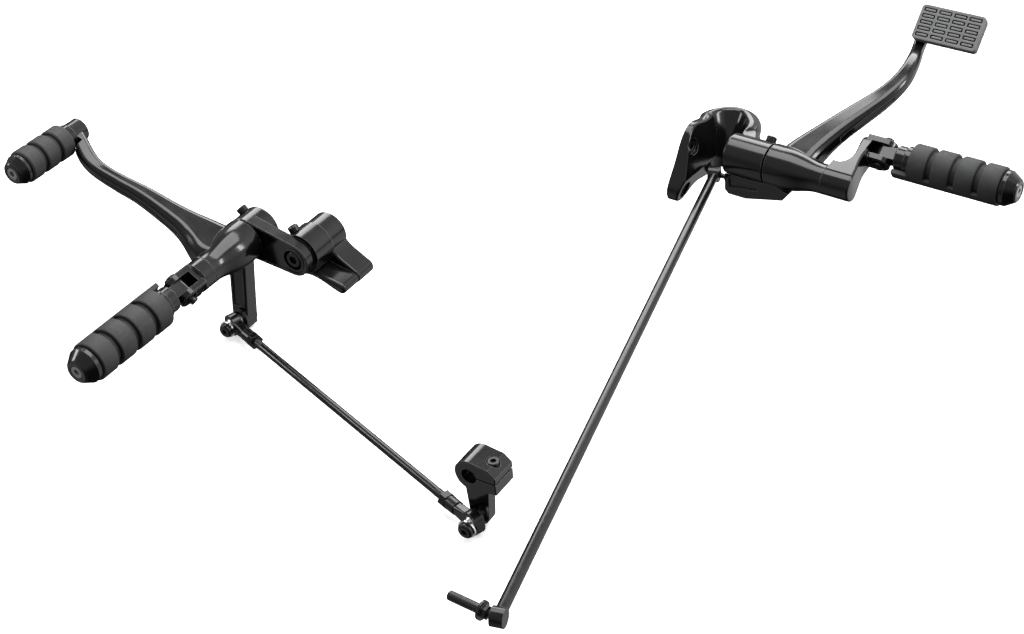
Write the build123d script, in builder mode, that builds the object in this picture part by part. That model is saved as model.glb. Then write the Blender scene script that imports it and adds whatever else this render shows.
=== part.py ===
from build123d import *

import os
from math import atan2, cos, degrees, radians, sin

# Motorcycle forward controls: a brake side and a shift side, laid out beside each other.
#
# Millimetres, +Z up. The origin is at the mouth of the brake bracket's upper frame bolt hole, on the
# face that meets the frame. +X points outboard on the brake side and +Y forward.
# Each side is modelled in its own frame: X along the pivot axis, outboard, with X = 0 at the inner end
# of the moving hub. On the brake side +Y points forward, and on the shift side +Y points rearward.

# Pivot shared by both sides
shaft_radius = 8.0
bush_wall = 2.0
bush_length = 16.0
bush_inset = 0.5
running_clearance = 0.05
face_gap = 0.3
washer_thickness = 1.0
washer_radius = 14.0
hub_length = 59.4
hub_inner_radius = 21.0
hub_outer_radius = 14.6
boss_radius = 20.5
edge_round = 1.2

# The peg axis lies this far ahead of and above the bracket's boss axis, on both sides
peg_offset_forward = 54.0
peg_offset_up = 9.2

# Foot peg, from its clevis pin outward
peg_pin_out = 32.3
peg_tilt = 32.0
peg_pin_radius = 4.0
peg_pin_head_radius = 6.2
peg_pin_head_height = 2.6
clip_thickness = 1.2
clip_radius = 6.6
ear_radius = 11.0
ear_thickness = 6.2
tongue_width = 12.4
tongue_height = 15.0
tongue_gap = 0.3
collar_start = 15.0
collar_length = 9.5
collar_radius = 12.6
first_ring = 31.6
peg_core_radius = 14.2
peg_ring_radius = 19.0
ring_width = 18.4
groove_width = 5.6
groove_floor = 0.9
ring_count = 4
groove_arc = 304.0
groove_start_angle = 221.0
ring_chamfer = 1.4
spine_lead = 16.0
peg_cap_length = 14.8
peg_cap_radius = 17.2
peg_screw_radius = 6.0
cap_face_radius = 10.4
cap_ring_chamfer = 1.0
peg_screw_socket = 3.0

# Toe peg on the shift lever
toe_eye_radius = 11.5
toe_eye_width = 15.0
toe_ring_radius = 16.4
toe_core_radius = 12.4
toe_ring_width = 15.5
toe_groove_width = 4.5
toe_groove_floor = 0.9
toe_ring_count = 3
toe_first_ring = 28.0
toe_cap_length = 12.5
toe_cap_radius = 14.8
toe_bolt_radius = 4.0

# Brake side bracket
brake_boss_length = 44.0
brake_boss_round = 3.0
plate_inner_x = -87.0
flange_top_thickness = 6.0
flange_crease_thickness = 17.0
flange_crease_level = -17.0
flange_foot_thickness = 8.0
flange_edge_round = 2.6
mount_hole_radius = 4.3
mount_head_radius = 8.5
mount_hole_upper = (-19.5, 8.5)
mount_hole_lower = (-40.0, -30.0)
mount_seat_upper = 9.0
mount_seat_lower = 7.5

# Brake pedal
pad_centre = (89.0, 195.0, 80.0)
pad_width = 68.0
pad_depth = 37.0
pad_thickness = 6.0
pad_plate_thickness = 4.0
pad_tilt = 44.0
pad_columns = 4
pad_rows = 5
pad_corner = 4.0
tread_depth = 1.6
tread_gap = 2.2
tread_bar = 1.9
tread_margin = 2.0
lug_inner_x = -43.0
lug_rear_y = -16.0
lug_front_y = 7.0
lug_clearance = 0.8
lug_pocket_depth = 2.2

# Brake rod
brake_rod_radius = 4.9
brake_rod_length = 636.5
brake_rod_toe = 16.1
brake_joint = (-59.0, -4.0, -27.0)
eye_radius = 8.0
eye_back = 8.0
eye_mouth = 2.8
rod_axis_aside = 2.3
ball_radius = 5.0
ball_clearance = 0.05
stud_neck_radius = 2.5
stud_radius = 3.9
stud_hex_flats = 10.0
stud_hex_height = 4.5
stud_depth = 14.0
rear_stud_length = 30.0

# Shift side bracket and link
wing_inner_x = -60.0
wing_outer_x = -37.0
wing_round = 2.0
shelf_round = 3.5
lip_outer_x = -14.5
wing_hole_radius = 4.0
wing_hole_depth = 18.0
wing_holes = ((0.0, 0.0), (31.0, -23.5))
link_thickness = 12.0
link_radius = 17.0
link_hub_length = 26.0
link_hub_round = 2.5
link_bolt_radius = 5.0
link_bolt_length = 22.0
link_bolt_head_radius = 8.0
link_bolt_head_height = 8.0
link_counterbore_radius = 10.4
link_counterbore_depth = 8.5
link_rim = 2.2
link_recess_depth = 1.0

# Shift lever
lever_slope = 0.41
toe_eye_x = 12.5
toe_eye_forward = 184.5
lower_arm_top_x = 12.0
lower_arm_bottom_x = 21.0
lower_arm_width = 16.0
lower_arm_depth = 20.0
lower_arm_pad_radius = 9.0
lower_arm_recess = 1.6
lower_arm_rim = 3.5
shift_joint_y = 3.0
shift_joint_z = -73.0

# Shift rod and its rod ends
shift_rod_radius = 3.9
shift_rod_length = 376.0
shift_rod_toe = 19.6
rod_end_length = 33.0
rod_end_radius = 10.5
rod_end_width = 8.0
rod_end_shank_radius = 6.2
rod_end_ball_radius = 8.0
ball_collar_radius = 5.0
ball_half_width = 9.0
jam_nut_flats = 13.0
jam_nut_width = 7.0
joint_bolt_radius = 3.95
joint_bolt_grip = 14.0
joint_washer_radius = 8.2
joint_washer_thickness = 1.5
joint_head_radius = 6.8
joint_head_height = 4.2

# Shift shaft arm
shaft_arm_length = 48.5
shaft_arm_thickness = 10.0
clamp_radius = 14.2
clamp_bore_radius = 7.1
clamp_inner_x = -17.0
clamp_outer_x = 9.0
clamp_block_depth = 25.0
clamp_block_top = 12.0
clamp_block_bottom = -11.0
clamp_slit = 1.6
pinch_place = (-4.0, 16.0)
pinch_radius = 3.0
pinch_head_radius = 5.0
pinch_head_height = 6.0
pinch_counterbore_depth = 5.0

# Where the shift side stands beside the brake side
shift_side_yaw = -86.6
shaft_arm_beside = 7.06
shift_side_y = -370.0
shift_side_z = 11.0

# Sizes worked out from the ones above
support_face = hub_length + face_gap
peg_pin_x = support_face + peg_pin_out
washer_face = -face_gap - washer_thickness
hub_bore_radius = shaft_radius + running_clearance + bush_wall
peg_offset_angle = degrees(atan2(peg_offset_up, peg_offset_forward))
ring_pitch = ring_width + groove_width
toe_pitch = toe_ring_width + toe_groove_width
toe_eye_up = toe_eye_forward * lever_slope
clevis_half = tongue_width / 2 + tongue_gap + ear_thickness
pad_normal = (0, -sin(radians(pad_tilt)), cos(radians(pad_tilt)))
pad_plane = Plane(origin=pad_centre, x_dir=(1, 0, 0), z_dir=pad_normal)
tread_pitch_x = (pad_width - 2 * tread_margin) / pad_columns
tread_pitch_y = (pad_depth - 2 * tread_margin) / pad_rows
crease_x = plate_inner_x + flange_crease_thickness
shift_joint_x = lower_arm_bottom_x + lower_arm_width / 2 + ball_half_width
shift_joint = (shift_joint_x, shift_joint_y, shift_joint_z)
shaft_joint = (
    shift_joint_x + shift_rod_length * sin(radians(shift_rod_toe)),
    shift_joint_y + shift_rod_length * cos(radians(shift_rod_toe)),
    shift_joint_z,
)

brake_side = Location((-plate_inner_x, -mount_hole_upper[0], -mount_hole_upper[1]))
brake_peg_local = Location((peg_pin_x, peg_offset_forward, peg_offset_up), (peg_tilt, 0, 0))
brake_peg_place = brake_side * brake_peg_local
brake_rod_place = brake_side * Location(brake_joint, (0, 0, brake_rod_toe))
shift_rod_reach = shift_rod_length * sin(radians(shift_rod_toe - shift_side_yaw))
shift_side_place = (shaft_arm_beside - shift_rod_reach, shift_side_y, shift_side_z)
shift_side = brake_side * Location(shift_side_place, (0, 0, shift_side_yaw))
shift_peg_local = Location((peg_pin_x, 0, 0), (-peg_tilt, 0, 0))
shift_peg_place = shift_side * shift_peg_local
toe_peg_place = shift_side * Location((toe_eye_x, -toe_eye_forward, toe_eye_up))
shift_rod_place = shift_side * Location(shift_joint, (0, 0, -shift_rod_toe))
shaft_arm_local = Location(
    (shaft_joint[0] - ball_half_width, shaft_joint[1], shaft_joint[2] + shaft_arm_length)
)
shaft_arm_place = shift_side * shaft_arm_local

os.makedirs("parts", exist_ok=True)


def save(builder, name, place):
    """Set a finished piece in its place and write it under its name."""
    piece = builder.part.moved(place)
    piece.label = name
    export_step(piece, f"parts/{name}.step")


def across(x, y=0.0, z=0.0):
    """The plane at X = x that faces outboard, with its own X along +Y."""
    return Plane(origin=(x, y, z), x_dir=(0, 1, 0), z_dir=(1, 0, 0))


def loft_arm(stations, corner=0.36):
    """An arm through rounded sections that stand across its line.

    A station gives the centre as X, Y and Z, then the width, the height, how far the section is
    moved sideways from the centre, and how far it leans, in degrees.
    """
    centres = [Vector(*station[0]) for station in stations]
    with BuildPart() as body:
        for index, (centre, width, height, aside, lean) in enumerate(stations):
            before = centres[max(index - 1, 0)]
            after = centres[min(index + 1, len(centres) - 1)]
            forward = (after - before).normalized()
            level = forward.cross(Vector(0, 0, 1)).normalized()
            upright = level.cross(forward)
            broad = level * cos(radians(lean)) + upright * sin(radians(lean))
            middle = centres[index] + level * aside
            with BuildSketch(Plane(origin=middle, x_dir=broad, z_dir=forward)):
                RectangleRounded(width, height, min(width, height) * corner)
        loft()
    return body.part


def round_bar(plane, radius, length):
    with BuildPart() as bar:
        with BuildSketch(plane):
            Circle(radius)
        extrude(amount=length)
    return bar.part


def hexagon_radius(flats):
    return flats / 2 / cos(radians(30))


# Foot peg, in the frame of its clevis pin: +X outboard along the peg, +Y along the pin

def clevis_cut(top):
    """The slot that takes the tongue: open above and outboard, with a floor that the tongue rests on."""
    back = ear_radius + 1.5
    floor = tongue_height / 2 + tongue_gap
    with BuildPart() as cut:
        with BuildSketch(Plane.XY.offset(-floor)):
            with Locations(((back + ear_radius) / 2 - back + 2.0, 0)):
                Rectangle(back + ear_radius + 4.0, tongue_width + 2 * tongue_gap)
        extrude(amount=floor + top)
        with BuildSketch(Plane.XZ.offset(-clevis_half - 1.0)):
            Circle(peg_pin_radius + running_clearance)
        extrude(amount=2 * clevis_half + 2.0)
    return cut.part


def clevis_block(back):
    """The solid that the slot is cut from: a round nose about the pin and a body behind it."""
    with BuildPart() as block:
        with BuildSketch(Plane.XZ.offset(-clevis_half)):
            Circle(ear_radius)
            with Locations((-back / 2, 0)):
                Rectangle(back, 2 * ear_radius)
        extrude(amount=2 * clevis_half)
        chamfer(block.edges().filter_by(GeomType.CIRCLE), edge_round)
    return block.part


def make_peg(side_name, place):
    """One folding foot peg: core, rubber sleeve, cap, screw, pin and clip."""
    core_start = collar_start + collar_length
    rubber_end = first_ring + ring_count * ring_width + (ring_count - 1) * groove_width
    cap_start = rubber_end + 1.2

    with BuildPart() as core:
        with BuildSketch(Plane.XZ.offset(-tongue_width / 2)):
            Circle(tongue_height / 2)
            with Locations((collar_start / 2, 0)):
                Rectangle(collar_start, tongue_height)
        extrude(amount=tongue_width)
        with BuildSketch(Plane.XY):
            with BuildLine():
                Polyline(
                    (collar_start, 0),
                    (collar_start, collar_radius - edge_round),
                    (collar_start + edge_round, collar_radius),
                    (core_start, collar_radius),
                    (core_start, peg_core_radius - edge_round),
                    (core_start + edge_round, peg_core_radius),
                    (rubber_end, peg_core_radius),
                    (rubber_end, 0),
                    close=True,
                )
            make_face()
        revolve(axis=Axis.X)
        with BuildSketch(Plane.XZ.offset(-tongue_width / 2 - 1.0)):
            Circle(peg_pin_radius + running_clearance)
        extrude(amount=tongue_width + 2.0, mode=Mode.SUBTRACT)
        with Locations(Location((rubber_end, 0, 0), (0, 90, 0))):
            Hole(peg_screw_socket + 1.0, depth=30.0)
    save(core, f"{side_name}_peg_core", place)

    with BuildPart() as rubber:
        with BuildSketch(Plane.XY):
            with BuildLine():
                Polyline(
                    (first_ring - spine_lead, peg_core_radius),
                    (first_ring - spine_lead, peg_ring_radius - ring_chamfer),
                    (first_ring - spine_lead + ring_chamfer, peg_ring_radius),
                    (rubber_end - ring_chamfer, peg_ring_radius),
                    (rubber_end, peg_ring_radius - ring_chamfer),
                    (rubber_end, peg_core_radius),
                    close=True,
                )
            make_face()
        revolve(axis=Axis.X)
        with BuildSketch(Plane.XY.rotated((groove_start_angle, 0, 0))):
            cuts = [(first_ring - spine_lead, first_ring, -1.0)]
            for index in range(ring_count - 1):
                groove_start = first_ring + ring_width + index * ring_pitch
                cuts.append((groove_start, groove_start + groove_width, groove_floor))
            for cut_start, cut_end, cut_floor in cuts:
                with BuildLine():
                    Polyline(
                        (cut_start, peg_core_radius + cut_floor),
                        (cut_start, peg_ring_radius - ring_chamfer),
                        (cut_start - ring_chamfer, peg_ring_radius + 0.01),
                        (cut_end + ring_chamfer, peg_ring_radius + 0.01),
                        (cut_end, peg_ring_radius - ring_chamfer),
                        (cut_end, peg_core_radius + cut_floor),
                        close=True,
                    )
                make_face()
        revolve(axis=Axis.X, revolution_arc=groove_arc, mode=Mode.SUBTRACT)
    save(rubber, f"{side_name}_peg_rubber", place)

    with BuildPart() as cap:
        with BuildSketch(Plane.XY):
            with BuildLine():
                Polyline(
                    (rubber_end, 0),
                    (rubber_end, peg_core_radius),
                    (cap_start, peg_core_radius),
                    (cap_start, peg_cap_radius - edge_round),
                    (cap_start + edge_round, peg_cap_radius),
                    (cap_start + 5.0, peg_cap_radius),
                )
                ThreePointArc(
                    (cap_start + 5.0, peg_cap_radius),
                    (cap_start + 11.0, peg_cap_radius - 2.6),
                    (cap_start + peg_cap_length, cap_face_radius),
                )
                Polyline(
                    (cap_start + peg_cap_length, cap_face_radius),
                    (cap_start + peg_cap_length - cap_ring_chamfer, cap_face_radius - cap_ring_chamfer),
                    (cap_start + peg_cap_length - cap_ring_chamfer, peg_screw_radius + 0.4),
                    (cap_start + peg_cap_length - 4.0, peg_screw_radius + 0.4),
                    (cap_start + peg_cap_length - 4.0, 0),
                    (rubber_end, 0),
                )
            make_face()
        revolve(axis=Axis.X)
        with Locations(Location((cap_start + peg_cap_length, 0, 0), (0, 90, 0))):
            Hole(peg_screw_socket + 1.0)
    save(cap, f"{side_name}_peg_cap", place)

    head_end = cap_start + peg_cap_length - 0.4
    with BuildPart() as screw:
        with BuildSketch(across(cap_start + peg_cap_length - 4.0)):
            Circle(peg_screw_radius)
        extrude(amount=3.6)
        with BuildSketch(across(rubber_end - 26.0)):
            Circle(peg_screw_socket + 0.9)
        extrude(amount=26.0 + cap_start - rubber_end + peg_cap_length - 4.0)
        with BuildSketch(across(head_end - 3.0)):
            RegularPolygon(peg_screw_socket, 6)
        extrude(amount=4.0, mode=Mode.SUBTRACT)
    save(screw, f"{side_name}_peg_screw", place)

    with BuildPart() as pin:
        with BuildSketch(Plane.XZ.offset(clevis_half)):
            Circle(peg_pin_head_radius)
        extrude(amount=peg_pin_head_height)
        chamfer(pin.edges().sort_by(Axis.Y)[0], 0.8)
        with BuildSketch(Plane.XZ.offset(clevis_half)):
            Circle(peg_pin_radius)
        extrude(amount=-(2 * clevis_half + clip_thickness + 3.0))
    save(pin, f"{side_name}_peg_pin", place)

    with BuildPart() as clip:
        with BuildSketch(Plane.XZ.offset(-clevis_half - 0.1)):
            Circle(clip_radius)
            Circle(peg_pin_radius, mode=Mode.SUBTRACT)
            with Locations((0, clip_radius)):
                Rectangle(2 * peg_pin_radius * 0.8, 2 * clip_radius, mode=Mode.SUBTRACT)
        extrude(amount=-clip_thickness)
    save(clip, f"{side_name}_peg_clip", place)


make_peg("brake", brake_peg_place)
make_peg("shift", shift_peg_place)


# Pivot pieces that both sides share

def make_pivot(side_name, place):
    """Two plain bushes pressed into the hub and the washer at its inner end."""
    with BuildPart() as bushes:
        for start in (bush_inset, hub_length - bush_inset - bush_length):
            with BuildSketch(across(start)):
                Circle(hub_bore_radius)
                Circle(shaft_radius + running_clearance, mode=Mode.SUBTRACT)
            extrude(amount=bush_length)
    save(bushes, f"{side_name}_pivot_bushes", place)

    with BuildPart() as washer:
        with BuildSketch(across(washer_face)):
            Circle(washer_radius)
            Circle(shaft_radius, mode=Mode.SUBTRACT)
        extrude(amount=washer_thickness)
    save(washer, f"{side_name}_thrust_washer", place)


make_pivot("brake", brake_side)
make_pivot("shift", shift_side)


def make_hub():
    """A moving hub without its bore: full at the inner end and drawn in towards the peg support."""
    with BuildPart() as hub:
        with BuildSketch(Plane.XY):
            with BuildLine():
                Polyline(
                    (0, 0),
                    (0, hub_inner_radius - edge_round),
                    (edge_round, hub_inner_radius),
                    (14.0, hub_inner_radius),
                )
                Spline(
                    (14.0, hub_inner_radius),
                    (34.0, hub_inner_radius - 2.6),
                    (hub_length - 5.0, hub_outer_radius),
                    tangents=((1, 0), (1, 0)),
                )
                Polyline(
                    (hub_length - 5.0, hub_outer_radius),
                    (hub_length - 0.6, hub_outer_radius),
                    (hub_length, hub_outer_radius - 0.6),
                    (hub_length, 0),
                    (0, 0),
                )
            make_face()
        revolve(axis=Axis.X)
    return hub.part


def boss_screw(name, x, radius, angle, place):
    """The round headed screw that locks the peg support's shaft in a boss."""
    direction = (0, cos(radians(angle)), sin(radians(angle)))
    seat = Plane(
        origin=(x, radius * direction[1], radius * direction[2]),
        x_dir=(1, 0, 0),
        z_dir=direction,
    )
    with BuildPart() as screw:
        with BuildSketch(seat):
            Circle(5.2)
        extrude(amount=5.6)
        chamfer(screw.edges().group_by(SortBy.DISTANCE)[-1], 0.9)
        with BuildSketch(seat):
            Circle(3.0)
        extrude(amount=-(radius - shaft_radius))
        with BuildSketch(seat.offset(5.6)):
            RegularPolygon(2.4, 6)
        extrude(amount=-3.0, mode=Mode.SUBTRACT)
    save(screw, name, place)
    with BuildPart() as hole:
        with BuildSketch(seat.offset(-(radius - shaft_radius))):
            Circle(3.0)
        extrude(amount=radius)
    return hole.part


# Brake side

brake_screw_hole = boss_screw("brake_boss_screw", washer_face - 8.0, boss_radius, 45.0, brake_side)


with BuildPart() as brake_bracket:
    # Flange that bolts to the frame: its side outline, cut by a section that swells to a crease
    with BuildSketch(across(plate_inner_x)):
        with BuildLine():
            Spline(
                (24.0, 23.0),
                (2.0, 24.5),
                (-9.0, 26.0),
                (-17.0, 23.0),
                (-38.0, -4.0),
                (-50.0, -20.0),
                (-54.0, -30.0),
                (-50.0, -39.0),
                (-40.0, -42.5),
                (-30.0, -39.0),
                (-22.0, -35.0),
                (0.0, -38.0),
                (24.0, -35.0),
            )
            Line((24.0, -35.0), (24.0, 23.0))
        make_face()
    extrude(amount=flange_crease_thickness)
    with BuildSketch(Plane.XZ.offset(-26.0)):
        with BuildLine():
            Polyline(
                (plate_inner_x, -46.0),
                (plate_inner_x, 28.0),
                (plate_inner_x + flange_top_thickness, 28.0),
                (crease_x, flange_crease_level),
                (plate_inner_x + flange_foot_thickness, -46.0),
                close=True,
            )
        make_face()
    extrude(amount=90.0, mode=Mode.INTERSECT)
    flange_edges = brake_bracket.edges().filter_by(
        lambda edge: edge.center().X > plate_inner_x + 1.0 and edge.bounding_box().max.Y < 24.5
    )
    fillet(flange_edges.filter_by(lambda edge: edge.center().Y < 23.5), flange_edge_round)
    # Neck that leans back as it reaches round from the flange to the boss
    add(
        loft_arm(
            (
                ((-80.0, 4.0, -6.5), 12.0, 58.0, 0.0, 12.0),
                ((-79.0, 19.0, -6.0), 12.5, 58.0, 0.0, 19.0),
                ((-73.5, 33.0, -6.0), 13.5, 57.0, 0.0, 30.0),
                ((-62.0, 40.0, -5.0), 14.5, 54.0, 0.0, 36.0),
                ((-49.0, 34.0, -3.5), 16.0, 48.0, 0.0, 30.0),
                ((-38.0, 20.0, -2.0), 18.0, 41.0, 0.0, 16.0),
                ((-28.0, 5.0, 0.0), 20.0, 34.0, 0.0, 4.0),
            )
        )
    )
    # Boss with its blind bore
    add(round_bar(across(washer_face - brake_boss_length), boss_radius, brake_boss_length))
    boss_end = brake_bracket.edges().filter_by(GeomType.CIRCLE).filter_by_position(
        Axis.X, washer_face - brake_boss_length - 0.1, washer_face - brake_boss_length + 0.1
    )
    fillet(boss_end, brake_boss_round)
    with BuildSketch(across(washer_face)):
        Circle(shaft_radius)
    extrude(amount=-(brake_boss_length - 4.0), mode=Mode.SUBTRACT)
    add(brake_screw_hole, mode=Mode.SUBTRACT)
    # Frame bolt holes with their spotfaces
    for hole_place, seat in ((mount_hole_upper, mount_seat_upper), (mount_hole_lower, mount_seat_lower)):
        with BuildSketch(across(plate_inner_x)):
            with Locations(hole_place):
                Circle(mount_hole_radius)
        extrude(amount=flange_crease_thickness, mode=Mode.SUBTRACT)
        with BuildSketch(across(plate_inner_x + seat)):
            with Locations(hole_place):
                Circle(mount_head_radius)
        extrude(amount=flange_crease_thickness, mode=Mode.SUBTRACT)
save(brake_bracket, "brake_bracket", brake_side)

crank_plan = Plane.XY.rotated((peg_offset_angle, 0, 0))

with BuildPart() as brake_peg_support:
    # Crank: its side outline cut by its plan
    with BuildSketch(across(support_face)):
        Circle(hub_outer_radius)
        with Locations((peg_offset_forward, peg_offset_up)):
            Circle(ear_radius + 1.0)
        make_hull()
    extrude(amount=40.0)
    with BuildSketch(crank_plan):
        with BuildLine():
            Polyline(
                (support_face, -20.0),
                (support_face, hub_outer_radius + 1.0),
                (support_face + 6.3, hub_outer_radius + 1.0),
            )
            Spline(
                (support_face + 6.3, hub_outer_radius + 1.0),
                (peg_pin_x - 20.5, 22.0),
                (peg_pin_x - 19.5, 36.0),
                (peg_pin_x - 19.0, 70.0),
            )
            Polyline((peg_pin_x - 19.0, 70.0), (peg_pin_x - 10.0, 70.0), (peg_pin_x - 10.0, 38.0))
            Spline(
                (peg_pin_x - 10.0, 38.0),
                (peg_pin_x - 8.0, 20.0),
                (peg_pin_x - 4.0, 2.0),
                (peg_pin_x - 5.0, -20.0),
            )
            Line((peg_pin_x - 5.0, -20.0), (support_face, -20.0))
        make_face()
    extrude(amount=25.0, both=True, mode=Mode.INTERSECT)
    crank_edges = brake_peg_support.edges().filter_by_position(Axis.X, support_face + 0.5, 200.0)
    fillet(crank_edges, 2.0)
    # Clevis
    add(clevis_block(18.0).moved(brake_peg_local))
    add(clevis_cut(ear_radius + 8.0).moved(brake_peg_local), mode=Mode.SUBTRACT)
    # Shaft
    add(round_bar(across(washer_face - brake_boss_length + 5.0), shaft_radius, 45.0 + support_face))
save(brake_peg_support, "brake_peg_support", brake_side)

with BuildPart() as brake_pedal:
    add(make_hub())
    add(
        loft_arm(
            (
                ((24.0, 6.0, 2.5), 42.0, 27.0, 0.0, 0.0),
                ((31.0, 32.0, 13.0), 33.0, 23.0, 0.0, 0.0),
                ((47.0, 64.0, 26.5), 26.0, 19.0, 0.0, 0.0),
                ((63.0, 93.0, 38.0), 22.0, 17.0, 0.0, 0.0),
                ((71.5, 112.0, 46.0), 19.0, 15.5, 0.0, 0.0),
                ((75.0, 131.0, 53.0), 16.5, 14.5, 0.0, 0.0),
                ((73.5, 148.0, 57.0), 14.5, 13.0, 0.0, 0.0),
                ((69.0, 166.0, 57.0), 13.0, 12.0, 0.0, 0.0),
                ((64.0, 182.0, 55.5), 12.5, 10.5, 0.0, 0.0),
                ((61.5, 194.0, 59.0), 13.0, 10.0, 0.0, 0.0),
                ((60.5, 205.0, 68.8), 14.0, 10.4, 0.0, 0.0),
            )
        )
    )
    # Channel in the arm's outboard flank
    add(
        loft_arm(
            (
                ((41.0, 48.0, 18.5), 6.0, 9.0, 14.5, 0.0),
                ((51.0, 70.0, 27.5), 6.0, 8.5, 13.2, 0.0),
                ((63.0, 93.0, 37.0), 5.0, 7.5, 11.6, 0.0),
                ((69.0, 106.0, 42.5), 3.0, 5.0, 10.6, 0.0),
            )
        ),
        mode=Mode.SUBTRACT,
    )
    # Plate under the pad
    with BuildSketch(pad_plane.offset(-pad_thickness)):
        RectangleRounded(pad_width - 1.0, pad_depth - 1.0, pad_corner)
    extrude(amount=-pad_plate_thickness)
    # Lug that works the rod, cut clear of the boss
    with BuildSketch(Plane.XZ.offset(-lug_front_y)):
        with BuildLine():
            Polyline(
                (lug_inner_x, -13.0),
                (10.0, -13.0),
                (27.0, -18.0),
                (21.0, -27.0),
                (-20.0, -37.0),
                (lug_inner_x + 4.0, -37.0),
                (lug_inner_x, -33.0),
                close=True,
            )
        make_face()
    extrude(amount=lug_front_y - lug_rear_y)
    with BuildSketch(Plane.XZ.offset(-lug_rear_y - lug_pocket_depth)):
        with BuildLine():
            Polyline(
                (lug_inner_x + 4.0, -18.0),
                (-4.0, -20.5),
                (-8.0, -25.0),
                (lug_inner_x + 4.0, -29.5),
                close=True,
            )
        make_face()
        fillet(vertices(), 1.2)
    extrude(amount=lug_pocket_depth + 1.0, mode=Mode.SUBTRACT)
    with BuildSketch(across(lug_inner_x - 1.0)):
        Circle(boss_radius + lug_clearance)
    extrude(amount=1.0 - lug_inner_x, mode=Mode.SUBTRACT)
    # Bore and stud hole
    with BuildSketch(across(-1.0)):
        Circle(hub_bore_radius)
    extrude(amount=hub_length + 2.0, mode=Mode.SUBTRACT)
    with BuildSketch(across(lug_inner_x, brake_joint[1], brake_joint[2])):
        Circle(stud_radius)
    extrude(amount=stud_depth, mode=Mode.SUBTRACT)
save(brake_pedal, "brake_pedal", brake_side)

with BuildPart() as brake_pedal_pad:
    with BuildSketch(pad_plane.offset(-pad_thickness)):
        RectangleRounded(pad_width, pad_depth, pad_corner)
    extrude(amount=pad_thickness)
    top_rim = brake_pedal_pad.faces().sort_by(Axis((0, 0, 0), pad_normal))[-1].edges()
    fillet(top_rim, 0.8)
    with BuildSketch(pad_plane):
        with GridLocations(tread_pitch_x, tread_pitch_y, pad_columns, pad_rows):
            RectangleRounded(tread_pitch_x - tread_gap, tread_pitch_y - tread_gap, 1.2)
            Rectangle(tread_pitch_x - tread_gap - 3.2, tread_bar, mode=Mode.SUBTRACT)
    extrude(amount=-tread_depth, mode=Mode.SUBTRACT)
save(brake_pedal_pad, "brake_pedal_pad", brake_side)


def ball_stud(hex_start, stud_length, flange):
    """A ball at the origin with its neck, hexagon and stud along +X."""
    with BuildPart() as stud:
        Sphere(ball_radius)
        add(round_bar(across(0), stud_neck_radius, hex_start))
        with BuildSketch(across(hex_start)):
            RegularPolygon(hexagon_radius(stud_hex_flats), 6)
        extrude(amount=stud_hex_height)
        if flange:
            with BuildSketch(across(hex_start + stud_hex_height)):
                Circle(stud_hex_flats * 0.8)
            extrude(amount=flange)
        add(round_bar(across(hex_start + stud_hex_height + flange), stud_radius, stud_length))
        chamfer(stud.edges().filter_by(GeomType.CIRCLE).sort_by(Axis.X)[-1], 0.8)
    return stud


front_hex_start = lug_inner_x - brake_joint[0] - stud_hex_height
brake_rod_front_stud = ball_stud(front_hex_start, stud_depth - 0.3, 0.0)
save(brake_rod_front_stud, "brake_rod_front_stud", brake_side * Location(brake_joint))

brake_rod_rear_stud = ball_stud(6.5, rear_stud_length, 2.0)
rear_ball_x = -2 * rod_axis_aside
rear_stud_turn = (0, 0, 180 - brake_rod_toe)
rear_joint_place = brake_rod_place * Location((rear_ball_x, -brake_rod_length, 0), rear_stud_turn)
save(brake_rod_rear_stud, "brake_rod_rear_stud", rear_joint_place)

with BuildPart() as brake_rod:
    with BuildSketch(Plane.XZ.offset(eye_radius - 1.5)):
        with Locations((-rod_axis_aside, 0)):
            Circle(brake_rod_radius)
    extrude(amount=brake_rod_length - 2 * (eye_radius - 1.5))
    # Sockets: the front one is open outboard, the rear one inboard
    for eye_x, eye_y, outward in ((0, 0, 1), (rear_ball_x, -brake_rod_length, -1)):
        with BuildSketch(across(eye_x + outward * eye_mouth, eye_y)):
            Circle(eye_radius)
        extrude(amount=-outward * (eye_back + eye_mouth))
        with Locations((eye_x, eye_y, 0)):
            Sphere(ball_radius + ball_clearance, mode=Mode.SUBTRACT)
save(brake_rod, "brake_rod", brake_rod_place)


# Shift side

link_bore_end = washer_face - link_hub_length + 4.0
shift_link_screw_hole = boss_screw(
    "shift_link_screw", washer_face - link_thickness - 7.0, boss_radius, 135.0, shift_side
)
shift_boss_place = shift_side * Location((0, peg_offset_forward, -peg_offset_up))
shift_boss_screw_hole = boss_screw(
    "shift_bracket_screw", washer_face - link_thickness - 9.0, boss_radius, 120.0, shift_boss_place
)

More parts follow.
